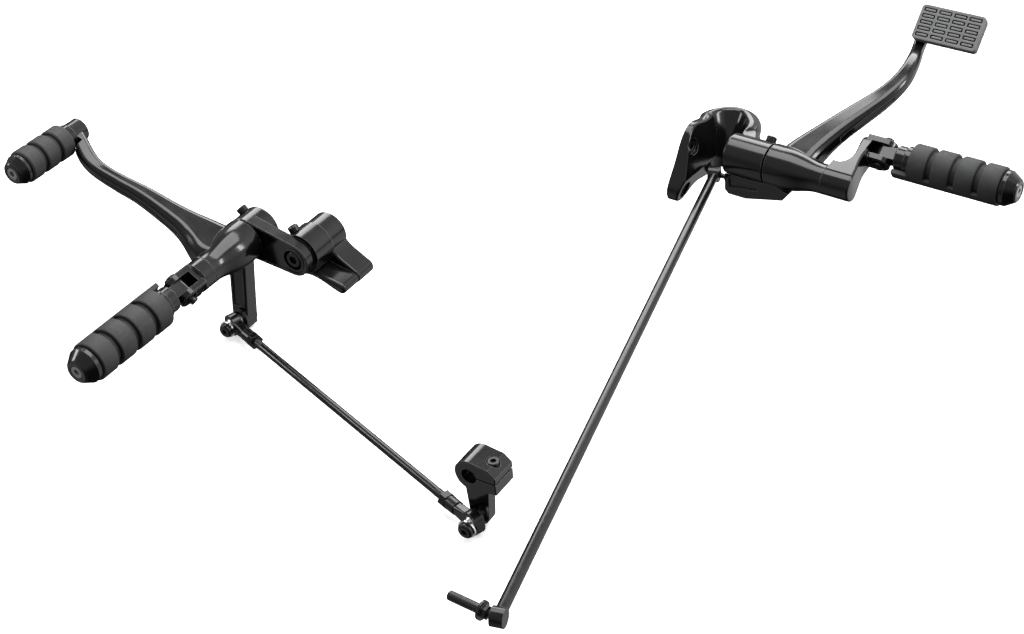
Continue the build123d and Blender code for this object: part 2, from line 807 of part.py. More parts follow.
with BuildPart() as shift_link:
    with BuildSketch(across(washer_face)):
        Circle(boss_radius)
        with Locations((peg_offset_forward, -peg_offset_up)):
            Circle(link_radius)
        make_hull()
    extrude(amount=-link_thickness)
    chamfer(shift_link.faces().sort_by(Axis.X)[-1].edges(), 0.8)
    add(round_bar(across(washer_face - link_hub_length), boss_radius, link_hub_length - 1.0))
    hub_back = shift_link.faces().sort_by(Axis.X)[0].edges()
    fillet(hub_back, link_hub_round)
    with BuildSketch(across(washer_face)):
        Circle(shaft_radius)
    extrude(amount=link_bore_end - washer_face, mode=Mode.SUBTRACT)
    # Shallow recess inside a rim, round the washer's seat and the counterbore
    with BuildSketch(across(washer_face)):
        Circle(boss_radius - link_rim)
        with Locations((peg_offset_forward, -peg_offset_up)):
            Circle(link_radius - link_rim)
        make_hull()
        Circle(washer_radius + 1.0, mode=Mode.SUBTRACT)
        with Locations((peg_offset_forward, -peg_offset_up)):
            Circle(link_counterbore_radius + 1.6, mode=Mode.SUBTRACT)
    extrude(amount=-link_recess_depth, mode=Mode.SUBTRACT)
    with BuildSketch(across(washer_face)):
        with Locations((peg_offset_forward, -peg_offset_up)):
            Circle(link_counterbore_radius)
    extrude(amount=-link_counterbore_depth, mode=Mode.SUBTRACT)
    with BuildSketch(across(washer_face)):
        with Locations((peg_offset_forward, -peg_offset_up)):
            Circle(link_bolt_radius)
    extrude(amount=-link_thickness, mode=Mode.SUBTRACT)
    add(shift_link_screw_hole, mode=Mode.SUBTRACT)
save(shift_link, "shift_link", shift_side)

with BuildPart() as shift_link_bolt:
    head_seat = washer_face - link_counterbore_depth
    with BuildSketch(across(head_seat)):
        Circle(link_bolt_head_radius)
    extrude(amount=link_bolt_head_height)
    chamfer(shift_link_bolt.faces().sort_by(Axis.X)[-1].edges(), 0.8)
    with BuildSketch(across(head_seat)):
        Circle(link_bolt_radius)
    extrude(amount=-link_bolt_length)
    with BuildSketch(across(head_seat + link_bolt_head_height)):
        RegularPolygon(hexagon_radius(8.0), 6)
    extrude(amount=-4.5, mode=Mode.SUBTRACT)
save(shift_link_bolt, "shift_link_bolt", shift_boss_place)

with BuildPart() as shift_bracket:
    # Wing: round at the boss, with a tail that sweeps down to the rear
    with BuildSketch(across(wing_inner_x)) as wing_outline:
        Circle(boss_radius - 1.5)
        with BuildLine():
            Polyline((0.0, -boss_radius + 1.5), (0.0, 0.0), (14.0, 4.0))
            Spline((14.0, 4.0), (20.0, -7.0), (31.0, -15.0), (41.0, -21.0))
            ThreePointArc((41.0, -21.0), (46.5, -28.5), (41.5, -35.0))
            Spline((41.5, -35.0), (30.0, -30.5), (14.0, -23.5), (0.0, -boss_radius + 1.5))
        make_face()
    extrude(amount=wing_outer_x - wing_inner_x)
    fillet(shift_bracket.faces().sort_by(Axis.X)[-1].edges(), wing_round)
    # Shelf that carries on outboard below the boss, with soft outer edges
    with BuildSketch(across(wing_outer_x - wing_round - 2.0)):
        with BuildLine():
            Spline((-6.0, -27.0), (12.0, -24.5), (30.0, -31.0), (40.5, -34.6))
            ThreePointArc((40.5, -34.6), (45.5, -29.0), (40.5, -23.4))
            Spline((40.5, -23.4), (32.0, -21.6), (20.0, -19.0), (8.0, -15.0), (-6.0, -15.0))
            Line((-6.0, -15.0), (-6.0, -27.0))
        make_face()
    extrude(amount=lip_outer_x - wing_outer_x + wing_round + 2.0)
    fillet(shift_bracket.faces().sort_by(Axis.X)[-1].edges(), shelf_round)
    # Boss against the link
    add(round_bar(across(wing_outer_x - 1.0), boss_radius, washer_face - link_thickness - wing_outer_x + 1.0))
    with BuildSketch(across(washer_face - link_thickness)):
        Circle(link_bolt_radius)
    extrude(amount=-link_bolt_length, mode=Mode.SUBTRACT)
    # Threaded holes for the frame bolts
    with BuildSketch(across(wing_inner_x)):
        with Locations(*wing_holes):
            Circle(wing_hole_radius)
    extrude(amount=wing_hole_depth, mode=Mode.SUBTRACT)
    add(shift_boss_screw_hole, mode=Mode.SUBTRACT)
save(shift_bracket, "shift_bracket", shift_boss_place)

with BuildPart() as shift_peg_support:
    add(round_bar(across(support_face), hub_outer_radius, 15.0))
    chamfer(shift_peg_support.faces().sort_by(Axis.X)[-1].edges(), 1.5)
    add(clevis_block(18.0).moved(shift_peg_local))
    add(clevis_cut(ear_radius + 6.0).moved(shift_peg_local), mode=Mode.SUBTRACT)
    add(round_bar(across(link_bore_end + 1.0), shaft_radius, support_face - link_bore_end - 1.0))
save(shift_peg_support, "shift_peg_support", shift_side)

lower_arm_run = -8.0 - shift_joint_z + lower_arm_pad_radius
lower_arm_face_top = lower_arm_top_x - 1.3 + lower_arm_width / 2
lower_arm_face_bottom = lower_arm_bottom_x + 0.6 + lower_arm_width / 2
recess_levels = (-hub_inner_radius - 5.0, shift_joint_z + lower_arm_pad_radius + 4.0)

with BuildPart() as lower_arm_recess_block:
    for level in recess_levels:
        share = (-8.0 - level) / lower_arm_run
        face_x = lower_arm_face_top + (lower_arm_face_bottom - lower_arm_face_top) * share
        with BuildSketch(Plane.XY.offset(level)):
            with Locations((face_x, 2.0)):
                RectangleRounded(2 * lower_arm_recess, lower_arm_depth - 2 * lower_arm_rim, 0.8)
    loft()
lower_arm_recess_cut = lower_arm_recess_block.part

with BuildPart() as shift_lever:
    add(make_hub())
    add(
        loft_arm(
            (
                ((28.0, -6.0, 2.5), 47.0, 27.0, 0.0, 0.0),
                ((28.0, -27.0, 11.0), 41.0, 24.0, 0.0, 0.0),
                ((26.5, -50.0, 20.5), 27.0, 20.0, 0.0, 0.0),
                ((27.0, -72.0, 29.5), 21.5, 18.0, 0.0, 0.0),
                ((28.0, -94.0, 38.5), 18.0, 16.5, 0.0, 0.0),
                ((31.0, -113.0, 46.3), 16.0, 15.5, 0.0, 0.0),
                ((33.0, -133.0, 54.5), 15.0, 14.5, 0.0, 0.0),
                ((32.0, -146.0, 59.9), 15.5, 14.0, 0.0, 0.0),
                ((27.0, -159.0, 65.2), 16.0, 14.0, 0.0, 0.0),
                ((19.5, -171.5, 70.6), 15.0, 14.0, 0.0, 0.0),
                ((12.5, -182.5, 74.8), 13.0, 13.0, 0.0, 0.0),
            )
        )
    )
    add(
        loft_arm(
            (
                ((26.5, -44.0, 18.0), 6.0, 8.0, -16.0, 0.0),
                ((27.0, -72.0, 29.5), 5.0, 7.0, -11.6, 0.0),
                ((28.0, -94.0, 38.5), 5.0, 6.5, -10.0, 0.0),
                ((31.0, -113.0, 46.3), 5.0, 6.0, -9.2, 0.0),
                ((33.0, -131.0, 53.7), 3.0, 4.5, -8.0, 0.0),
            )
        ),
        mode=Mode.SUBTRACT,
    )
    # Eye for the toe peg
    with BuildSketch(across(toe_eye_x - toe_eye_width / 2, -toe_eye_forward, toe_eye_up)):
        Circle(toe_eye_radius)
    extrude(amount=toe_eye_width)
    # Lower arm and its joint face
    with BuildSketch(Plane.XY.offset(-8.0)):
        with Locations((lower_arm_top_x - 1.3, 2.0)):
            RectangleRounded(lower_arm_width, lower_arm_depth, 2.0)
    with BuildSketch(Plane.XY.offset(shift_joint_z - lower_arm_pad_radius)):
        with Locations((lower_arm_bottom_x + 0.6, 2.0)):
            RectangleRounded(lower_arm_width, lower_arm_depth - 2.0, 2.0)
    loft()
    with BuildSketch(across(lower_arm_bottom_x - lower_arm_width / 2 + 1.0, shift_joint_y, shift_joint_z)):
        Circle(lower_arm_pad_radius)
    extrude(amount=lower_arm_width - 1.0)
    # Recess in the lower arm's outboard face
    add(lower_arm_recess_cut, mode=Mode.SUBTRACT)
    # Bores
    with BuildSketch(across(-1.0)):
        Circle(hub_bore_radius)
    extrude(amount=hub_length + 2.0, mode=Mode.SUBTRACT)
    with BuildSketch(across(0, shift_joint_y, shift_joint_z)):
        Circle(joint_bolt_radius)
    extrude(amount=shift_joint_x, mode=Mode.SUBTRACT)
    with BuildSketch(across(toe_eye_x + toe_eye_width / 2, -toe_eye_forward, toe_eye_up)):
        Circle(toe_bolt_radius)
    extrude(amount=-toe_eye_width + 3.0, mode=Mode.SUBTRACT)
    # Clearance beside the eye for the toe peg and beside the joint face for the rod end
    with BuildSketch(across(toe_eye_x + toe_eye_width / 2, -toe_eye_forward, toe_eye_up)):
        Circle(toe_ring_radius + 1.0)
    extrude(amount=30.0, mode=Mode.SUBTRACT)
    with BuildSketch(across(shift_joint_x - ball_half_width, shift_joint_y, shift_joint_z)):
        Circle(24.0)
    extrude(amount=20.0, mode=Mode.SUBTRACT)
save(shift_lever, "shift_lever", shift_side)


def make_toe_peg():
    """Toe peg from the lever's eye outward: core, rubber sleeve, cap and screw."""
    face = toe_eye_width / 2
    first = toe_first_ring - toe_eye_x
    rubber_end = first + toe_ring_count * toe_ring_width + (toe_ring_count - 1) * toe_groove_width
    cap_start = rubber_end + 1.0
    cap_end = cap_start + toe_cap_length

    with BuildPart() as core:
        with BuildSketch(Plane.XY):
            with BuildLine():
                Polyline(
                    (face, toe_bolt_radius),
                    (face, toe_core_radius - 1.0),
                    (face + 1.0, toe_core_radius),
                    (rubber_end, toe_core_radius),
                    (rubber_end, toe_bolt_radius),
                    close=True,
                )
            make_face()
        revolve(axis=Axis.X)
    save(core, "toe_peg_core", toe_peg_place)

    with BuildPart() as rubber:
        with BuildSketch(Plane.XY):
            with BuildLine():
                Polyline(
                    (first, toe_core_radius),
                    (first, toe_ring_radius - ring_chamfer),
                    (first + ring_chamfer, toe_ring_radius),
                    (rubber_end - ring_chamfer, toe_ring_radius),
                    (rubber_end, toe_ring_radius - ring_chamfer),
                    (rubber_end, toe_core_radius),
                    close=True,
                )
            make_face()
        revolve(axis=Axis.X)
        with BuildSketch(Plane.XY.rotated((groove_start_angle, 0, 0))):
            for index in range(toe_ring_count - 1):
                groove_start = first + toe_ring_width + index * toe_pitch
                groove_end = groove_start + toe_groove_width
                with BuildLine():
                    Polyline(
                        (groove_start, toe_core_radius + toe_groove_floor),
                        (groove_start, toe_ring_radius - ring_chamfer),
                        (groove_start - ring_chamfer, toe_ring_radius + 0.01),
                        (groove_end + ring_chamfer, toe_ring_radius + 0.01),
                        (groove_end, toe_ring_radius - ring_chamfer),
                        (groove_end, toe_core_radius + toe_groove_floor),
                        close=True,
                    )
                make_face()
        revolve(axis=Axis.X, revolution_arc=groove_arc, mode=Mode.SUBTRACT)
    save(rubber, "toe_peg_rubber", toe_peg_place)

    with BuildPart() as cap:
        with BuildSketch(Plane.XY):
            with BuildLine():
                Polyline(
                    (rubber_end, toe_bolt_radius),
                    (rubber_end, toe_core_radius),
                    (cap_start, toe_core_radius),
                    (cap_start, toe_cap_radius - 1.0),
                    (cap_start + 1.0, toe_cap_radius),
                    (cap_start + 3.5, toe_cap_radius),
                )
                ThreePointArc(
                    (cap_start + 3.5, toe_cap_radius),
                    (cap_start + 9.0, toe_cap_radius - 2.2),
                    (cap_end, cap_face_radius - 0.8),
                )
                Polyline(
                    (cap_end, cap_face_radius - 0.8),
                    (cap_end - cap_ring_chamfer, cap_face_radius - 0.8 - cap_ring_chamfer),
                    (cap_end - cap_ring_chamfer, peg_screw_radius + 0.4),
                    (cap_end - 4.0, peg_screw_radius + 0.4),
                    (cap_end - 4.0, toe_bolt_radius),
                    (rubber_end, toe_bolt_radius),
                )
            make_face()
        revolve(axis=Axis.X)
    save(cap, "toe_peg_cap", toe_peg_place)

    with BuildPart() as screw:
        with BuildSketch(across(cap_end - 4.0)):
            Circle(peg_screw_radius)
        extrude(amount=3.6)
        with BuildSketch(across(cap_end - 4.0)):
            Circle(toe_bolt_radius)
        extrude(amount=-(cap_end - 4.0 + face - 3.5))
        with BuildSketch(across(cap_end - 0.4)):
            RegularPolygon(peg_screw_socket, 6)
        extrude(amount=-3.0, mode=Mode.SUBTRACT)
    save(screw, "toe_peg_screw", toe_peg_place)


make_toe_peg()

with BuildPart() as shift_rod:
    with BuildSketch(Plane.XZ.offset(-15.0)):
        Circle(shift_rod_radius)
    extrude(amount=-(shift_rod_length - 30.0))
save(shift_rod, "shift_rod", shift_rod_place)


def make_rod_end(end_name, body_place, ball_place):
    """A rod end with its jam nut along +Y, and the ball, washer and bolt of its joint along X."""
    with BuildPart() as housing:
        with BuildSketch(across(-rod_end_width / 2)):
            Circle(rod_end_radius)
        extrude(amount=rod_end_width)
        with BuildSketch(Plane.XZ.offset(-rod_end_radius + 3.0)):
            RectangleRounded(rod_end_width, rod_end_radius * 1.3, 1.5)
        with BuildSketch(Plane.XZ.offset(-rod_end_length + 11.0)):
            RectangleRounded(rod_end_width + 2.0, rod_end_width + 2.0, 3.5)
        loft()
        with BuildSketch(Plane.XZ.offset(-rod_end_length + 11.0)):
            Circle(rod_end_shank_radius)
        extrude(amount=-11.0)
        chamfer(housing.faces().sort_by(Axis.Y)[-1].edges(), 0.6)
        Sphere(rod_end_ball_radius + ball_clearance, mode=Mode.SUBTRACT)
        with BuildSketch(Plane.XZ.offset(-15.0)):
            Circle(shift_rod_radius)
        extrude(amount=-rod_end_length, mode=Mode.SUBTRACT)
    save(housing, f"shift_rod_{end_name}_end", body_place)

    with BuildPart() as nut:
        with BuildSketch(Plane.XZ.offset(-rod_end_length)):
            RegularPolygon(hexagon_radius(jam_nut_flats), 6)
            Circle(shift_rod_radius, mode=Mode.SUBTRACT)
        extrude(amount=-jam_nut_width)
    save(nut, f"shift_rod_{end_name}_nut", body_place)

    with BuildPart() as ball:
        Sphere(rod_end_ball_radius)
        with BuildSketch(across(-ball_half_width)):
            Circle(ball_collar_radius)
        extrude(amount=2 * ball_half_width)
        with BuildSketch(across(-ball_half_width - 1.0)):
            Circle(joint_bolt_radius)
        extrude(amount=2 * ball_half_width + 2.0, mode=Mode.SUBTRACT)
    save(ball, f"shift_rod_{end_name}_ball", ball_place)

    with BuildPart() as washer:
        with BuildSketch(across(ball_half_width)):
            Circle(joint_washer_radius)
            Circle(joint_bolt_radius, mode=Mode.SUBTRACT)
        extrude(amount=joint_washer_thickness)
    save(washer, f"shift_rod_{end_name}_washer", ball_place)

    with BuildPart() as bolt:
        head_seat = ball_half_width + joint_washer_thickness
        with BuildSketch(across(head_seat)):
            Circle(joint_head_radius)
        extrude(amount=joint_head_height)
        fillet(bolt.faces().sort_by(Axis.X)[-1].edges(), 2.2)
        with BuildSketch(across(head_seat)):
            Circle(joint_bolt_radius)
        extrude(amount=-(head_seat + ball_half_width + joint_bolt_grip))
        with BuildSketch(across(head_seat + joint_head_height)):
            RegularPolygon(hexagon_radius(5.0), 6)
        extrude(amount=-2.6, mode=Mode.SUBTRACT)
    save(bolt, f"shift_rod_{end_name}_bolt", ball_place)


rear_end_place = shift_rod_place * Location((0, shift_rod_length, 0), (0, 0, 180))
make_rod_end("front", shift_rod_place, shift_side * Location(shift_joint))
make_rod_end("rear", rear_end_place, shift_side * Location(shaft_joint))

with BuildPart() as shift_shaft_arm:
    # Arm from the clamp down to the rod's joint
    with BuildSketch(across(-shaft_arm_thickness)):
        Circle(clamp_radius - 1.5)
        with Locations((0, -shaft_arm_length)):
            Circle(rod_end_radius - 1.5)
        make_hull()
    extrude(amount=shaft_arm_thickness)
    # Clamp with its block
    with BuildSketch(across(clamp_inner_x)):
        Circle(clamp_radius)
        with BuildLine():
            Polyline(
                (0.0, clamp_radius),
                (clamp_block_depth - 7.0, clamp_block_top),
                (clamp_block_depth, clamp_block_top - 6.0),
                (clamp_block_depth, clamp_block_bottom),
                (0.0, -clamp_radius),
                close=True,
            )
        make_face()
    extrude(amount=clamp_outer_x - clamp_inner_x)
    chamfer(shift_shaft_arm.faces().sort_by(Axis.X)[-1].edges(), 1.0)
    with BuildSketch(across(clamp_inner_x)):
        Circle(clamp_bore_radius)
        with Locations((clamp_block_depth / 2 + 1.0, 0)):
            Rectangle(clamp_block_depth + 2.0, clamp_slit)
    extrude(amount=clamp_outer_x - clamp_inner_x, mode=Mode.SUBTRACT)
    # Counterbored pinch hole and the hole for the joint's bolt
    with BuildSketch(Plane.XY.offset(clamp_block_bottom - 4.0)):
        with Locations(pinch_place):
            Circle(pinch_radius)
    extrude(amount=clamp_block_top - clamp_block_bottom + 8.0, mode=Mode.SUBTRACT)
    with BuildSketch(Plane.XY.offset(clamp_block_top - pinch_counterbore_depth)):
        with Locations(pinch_place):
            Circle(pinch_head_radius + 0.6)
    extrude(amount=12.0, mode=Mode.SUBTRACT)
    with BuildSketch(across(-shaft_arm_thickness)):
        with Locations((0, -shaft_arm_length)):
            Circle(joint_bolt_radius)
    extrude(amount=shaft_arm_thickness, mode=Mode.SUBTRACT)
save(shift_shaft_arm, "shift_shaft_arm", shaft_arm_place)

with BuildPart() as shaft_arm_pinch_bolt:
    pinch_seat = Plane.XY.offset(clamp_block_top - pinch_counterbore_depth)
    with BuildSketch(pinch_seat):
        with Locations(pinch_place):
            Circle(pinch_head_radius)
    extrude(amount=pinch_head_height)
    chamfer(shaft_arm_pinch_bolt.faces().sort_by(Axis.Z)[-1].edges(), 0.6)
    with BuildSketch(pinch_seat):
        with Locations(pinch_place):
            Circle(pinch_radius)
    extrude(amount=-(clamp_block_top - pinch_counterbore_depth - clamp_block_bottom))
    with BuildSketch(pinch_seat.offset(pinch_head_height)):
        with Locations(pinch_place):
            RegularPolygon(hexagon_radius(5.0), 6)
    extrude(amount=-3.0, mode=Mode.SUBTRACT)
save(shaft_arm_pinch_bolt, "shaft_arm_pinch_bolt", shaft_arm_place)
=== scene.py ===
import math

import bmesh
import bpy
from mathutils import Matrix, Vector


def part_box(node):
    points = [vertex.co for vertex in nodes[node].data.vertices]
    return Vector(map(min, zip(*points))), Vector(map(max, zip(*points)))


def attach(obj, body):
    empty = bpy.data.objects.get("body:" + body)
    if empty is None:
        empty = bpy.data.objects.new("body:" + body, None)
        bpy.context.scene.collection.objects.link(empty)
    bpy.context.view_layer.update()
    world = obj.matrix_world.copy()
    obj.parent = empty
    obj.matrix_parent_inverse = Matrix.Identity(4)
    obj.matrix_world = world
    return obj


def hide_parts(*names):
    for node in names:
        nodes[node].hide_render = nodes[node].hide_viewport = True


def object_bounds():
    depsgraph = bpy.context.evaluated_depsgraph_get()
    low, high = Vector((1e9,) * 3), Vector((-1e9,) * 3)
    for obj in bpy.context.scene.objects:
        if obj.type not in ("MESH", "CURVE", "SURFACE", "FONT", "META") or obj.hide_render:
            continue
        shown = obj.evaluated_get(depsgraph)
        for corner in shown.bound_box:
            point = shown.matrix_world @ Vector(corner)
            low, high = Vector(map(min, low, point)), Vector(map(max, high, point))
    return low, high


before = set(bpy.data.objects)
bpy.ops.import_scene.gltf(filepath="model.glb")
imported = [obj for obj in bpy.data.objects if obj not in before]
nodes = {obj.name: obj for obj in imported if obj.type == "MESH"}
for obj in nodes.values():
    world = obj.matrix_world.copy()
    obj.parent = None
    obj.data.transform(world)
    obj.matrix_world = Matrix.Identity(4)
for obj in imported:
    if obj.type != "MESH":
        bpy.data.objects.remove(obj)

cad_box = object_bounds()

MM = 0.001
FULL_TURN = 2 * math.pi

# Where the pegs stand, in millimetres: each peg's own origin, and its axes along, across and up

BRAKE_PEG_PLACE = (179.0, 73.5, 0.7)
SHIFT_PEG_PLACE = (-261.55424, -442.33806, 2.5)
TOE_PEG_PLACE = (-450.44434, -373.92002, 78.145)
BRAKE_PEG_AXES = ((1.0, 0.0, 0.0), (0.0, 0.848048, 0.529919), (0.0, -0.529919, 0.848048))
SHIFT_PEG_AXES = (
    (0.059306, -0.99824, 0.0),
    (0.846555, 0.050295, -0.529919),
    (0.528987, 0.031428, 0.848048),
)


# Camera, at the photograph's viewing angle

CAMERA_PLACE = (0.83043, -1.33874, 0.93318)
CAMERA_TURN = (                    # its columns are the camera's right, up and back
    (0.8111, -0.2940, 0.5056),
    (0.5806, 0.5093, -0.6352),
    (-0.0708, 0.8088, 0.5838),
)


def make_camera():
    data = bpy.data.cameras.new("camera")
    data.sensor_width = 36.0
    data.lens = 64.69
    data.clip_start = 0.05
    data.clip_end = 30.0
    camera = bpy.data.objects.new("camera", data)
    turn = Matrix(CAMERA_TURN).to_quaternion().to_matrix().to_4x4()
    camera.matrix_world = Matrix.Translation(CAMERA_PLACE) @ turn
    bpy.context.scene.collection.objects.link(camera)
    bpy.context.scene.camera = camera


# Floor and light

FLOOR_GAP = 0.0015
FLOOR_REACH = 9.0

SKY_DARKEST = 0.01
SKY_GLOWS = (                      # direction, dark up to, full from, strength
    ((0, 0, 1), -0.15, 0.4, 0.5),
    ((0.64, 0.77, 0), 0.35, 0.95, 1.2),
    ((-0.5, -0.64, -0.58), 0.7, 1.0, 0.45),
)

LAMP_TARGET = (0.0, -0.15, 0.0)
LAMPS = (                          # name, place, width, height, power
    ("top_soft_box", (0.0, 0.1, 2.0), 2.2, 1.4, 60),
    ("far_soft_box", (-1.05, 1.55, 1.35), 2.3, 1.0, 52),
    ("left_soft_box", (-1.7, -1.0, 0.9), 0.3, 0.9, 10),
    ("right_soft_box", (1.8, 0.6, 0.9), 0.3, 1.1, 18),
)


def make_floor():
    low = cad_box[0].z - FLOOR_GAP
    side = FLOOR_REACH
    mesh = bpy.data.meshes.new("floor")
    mesh.from_pydata(
        [(-side, -side, low), (side, -side, low), (side, side, low), (-side, side, low)],
        [],
        [(0, 1, 2, 3)],
    )
    floor = bpy.data.objects.new("floor", mesh)
    bpy.context.scene.collection.objects.link(floor)
    paint = bpy.data.materials.new("pale_floor")
    paint.use_nodes = True
    shader = paint.node_tree.nodes["Principled BSDF"]
    shader.inputs["Base Color"].default_value = (0.93, 0.93, 0.93, 1)
    shader.inputs["Roughness"].default_value = 0.9
    shader.inputs["Specular IOR Level"].default_value = 0.1
    shader.inputs["Emission Color"].default_value = (1, 1, 1, 1)
    shader.inputs["Emission Strength"].default_value = 0.42
    mesh.materials.append(paint)
    floor.visible_glossy = False
    floor.visible_diffuse = False


def make_sky():
    """A dim studio all round, with soft glows from above, the far right and low at the near left."""
    world = bpy.data.worlds.new("studio")
    world.use_nodes = True
    tree = world.node_tree
    background = tree.nodes["Background"]
    background.inputs["Strength"].default_value = 1.0
    direction = tree.nodes.new("ShaderNodeTexCoord").outputs["Generated"]
    glow = None
    for toward, dark_at, full_at, strength in SKY_GLOWS:
        along = tree.nodes.new("ShaderNodeVectorMath")
        along.operation = "DOT_PRODUCT"
        along.inputs[1].default_value = toward
        tree.links.new(direction, along.inputs[0])
        level = tree.nodes.new("ShaderNodeMapRange")
        level.inputs["From Min"].default_value = dark_at
        level.inputs["From Max"].default_value = full_at
        level.inputs["To Min"].default_value = SKY_DARKEST
        level.inputs["To Max"].default_value = strength
        tree.links.new(along.outputs["Value"], level.inputs["Value"])
        if glow:
            both = tree.nodes.new("ShaderNodeMath")
            both.operation = "ADD"
            tree.links.new(glow, both.inputs[0])
            tree.links.new(level.outputs["Result"], both.inputs[1])
            glow = both.outputs[0]
        else:
            glow = level.outputs["Result"]
    tree.links.new(glow, background.inputs["Color"])
    bpy.context.scene.world = world


def make_lamps():
    for name, place, width, height, power in LAMPS:
        data = bpy.data.lights.new(name, "AREA")
        data.shape = "RECTANGLE"
        data.size = width
        data.size_y = height
        data.energy = power
        lamp = bpy.data.objects.new(name, data)
        lamp.location = place
        toward = Vector(LAMP_TARGET) - Vector(place)
        lamp.rotation_euler = toward.to_track_quat("-Z", "Y").to_euler()
        bpy.context.scene.collection.objects.link(lamp)


# Materials

# Painted edge highlights: pale greys mixed into the edges of the gloss coat and of the black oxide.
COAT_EDGE_HIGHLIGHT = (0.2, 0.2, 0.203)
OXIDE_EDGE_HIGHLIGHT = (0.16, 0.16, 0.162)
# Painted shade: the black mixed into a rubber's grooves and slots.
PAINTED_GROOVE_SHADE = (0.0012, 0.0012, 0.0012)
RUBBER_EDGE_HIGHLIGHT_GAIN = 3.2                     # how much paler than its face a rubber's edge is painted, as a highlight
SLOT_REACH = 0.006                 # how near, in metres, a wall has to be for painted shade to darken a rubber's face
NOISE_LOW, NOISE_HIGH = 0.3, 0.7   # nearly all of a noise lies between these
FLAT = 0.995                       # cosine above which the rounded normal is the face's own


class Finish:
    """Builds one procedural material on the object's own coordinates, in metres."""

    def __init__(self, name):
        self.material = bpy.data.materials.new(name)
        self.material.use_nodes = True
        self.tree = self.material.node_tree
        self.shader = self.tree.nodes["Principled BSDF"]
        self.place = self.tree.nodes.new("ShaderNodeTexCoord").outputs["Object"]

    def set(self, **values):
        for key, value in values.items():
            self.shader.inputs[key.replace("_", " ")].default_value = value

    def link(self, a, b):
        self.tree.links.new(a, b)

    def noise(self, scale, detail, rough, stretch=None):
        node = self.tree.nodes.new("ShaderNodeTexNoise")
        node.inputs["Scale"].default_value = scale
        node.inputs["Detail"].default_value = detail
        node.inputs["Roughness"].default_value = rough
        source = self.place
        if stretch:
            mapping = self.tree.nodes.new("ShaderNodeMapping")
            mapping.inputs["Scale"].default_value = stretch
            self.link(source, mapping.inputs["Vector"])
            source = mapping.outputs["Vector"]
        self.link(source, node.inputs["Vector"])
        return node.outputs["Fac"]

    def between(self, value, low, high, to_low, to_high):
        node = self.tree.nodes.new("ShaderNodeMapRange")
        node.inputs["From Min"].default_value = low
        node.inputs["From Max"].default_value = high
        node.inputs["To Min"].default_value = to_low
        node.inputs["To Max"].default_value = to_high
        self.link(value, node.inputs["Value"])
        return node.outputs["Result"]

    def spread(self, noise, to_low, to_high):
        return self.between(noise, NOISE_LOW, NOISE_HIGH, to_low, to_high)

    def mixed(self, factor, first, second):
        node = self.tree.nodes.new("ShaderNodeMix")
        node.data_type = "RGBA"
        self.link(factor, node.inputs[0])
        for socket, value in ((node.inputs[6], first), (node.inputs[7], second)):
            if isinstance(value, tuple):
                socket.default_value = value + (1,)
            else:
                self.link(value, socket)
        return node.outputs[2]

    def scaled(self, value, factor):
        node = self.tree.nodes.new("ShaderNodeMath")
        node.operation = "MULTIPLY"
        self.link(value, node.inputs[0])
        node.inputs[1].default_value = factor
        return node.outputs[0]

    def total(self, first, second):
        node = self.tree.nodes.new("ShaderNodeMath")
        node.operation = "ADD"
        self.link(first, node.inputs[0])
        self.link(second, node.inputs[1])
        return node.outputs[0]

    def edges(self, radius, reach):
        """0 on flat faces to 1 on sharp edges, where a pale edge is painted as a highlight, and the
        rounded normal.
        """
        bevel = self.tree.nodes.new("ShaderNodeBevel")
        bevel.samples = 4
        bevel.inputs["Radius"].default_value = radius
        plain = self.tree.nodes.new("ShaderNodeNewGeometry")
        dot = self.tree.nodes.new("ShaderNodeVectorMath")
        dot.operation = "DOT_PRODUCT"
        self.link(bevel.outputs["Normal"], dot.inputs[0])
        self.link(plain.outputs["Normal"], dot.inputs[1])
        worn = self.between(dot.outputs["Value"], 1.0 - reach, FLAT, 1.0, 0.0)
        return worn, bevel.outputs["Normal"]

    def open(self, reach):
        """1 on open faces, less in slots and grooves, the mask for painted shade in them."""
        node = self.tree.nodes.new("ShaderNodeAmbientOcclusion")
        node.samples = 6
        node.only_local = True
        node.inputs["Distance"].default_value = reach
        return node.outputs["AO"]

    def bumps(self, height, strength, distance, normal=None):
        node = self.tree.nodes.new("ShaderNodeBump")
        node.inputs["Strength"].default_value = strength
        node.inputs["Distance"].default_value = distance
        self.link(height, node.inputs["Height"])
        if normal:
            self.link(normal, node.inputs["Normal"])
        self.link(node.outputs["Normal"], self.shader.inputs["Normal"])

    def colour(self, socket):
        self.link(socket, self.shader.inputs["Base Color"])

    def roughness(self, socket):
        self.link(socket, self.shader.inputs["Roughness"])


def gloss_black(name, dark, light, low_rough, high_rough, orange_peel):
    """Gloss black coat over metal: slight orange peel, faint haze and thin edges painted pale as a
    highlight.
    """
    finish = Finish(name)
    finish.set(
        Metallic=0.0, IOR=1.5, Specular_IOR_Level=0.36, Coat_Weight=0.1, Coat_Roughness=0.04
    )
    cloud = finish.noise(scale=28.0, detail=4.0, rough=0.55)
    grain = finish.noise(scale=900.0, detail=2.0, rough=0.5)
    edge, rounded = finish.edges(radius=0.0007, reach=0.12)
    base = finish.mixed(cloud, dark, light)
    # Painted highlight: the edges are mixed toward pale grey.
    finish.colour(finish.mixed(finish.scaled(edge, 0.75), base, COAT_EDGE_HIGHLIGHT))
    finish.roughness(finish.total(
        finish.spread(cloud, low_rough, high_rough), finish.scaled(grain, 0.05)
    ))
    finish.bumps(grain, strength=orange_peel, distance=0.00005, normal=rounded)
    return finish.material


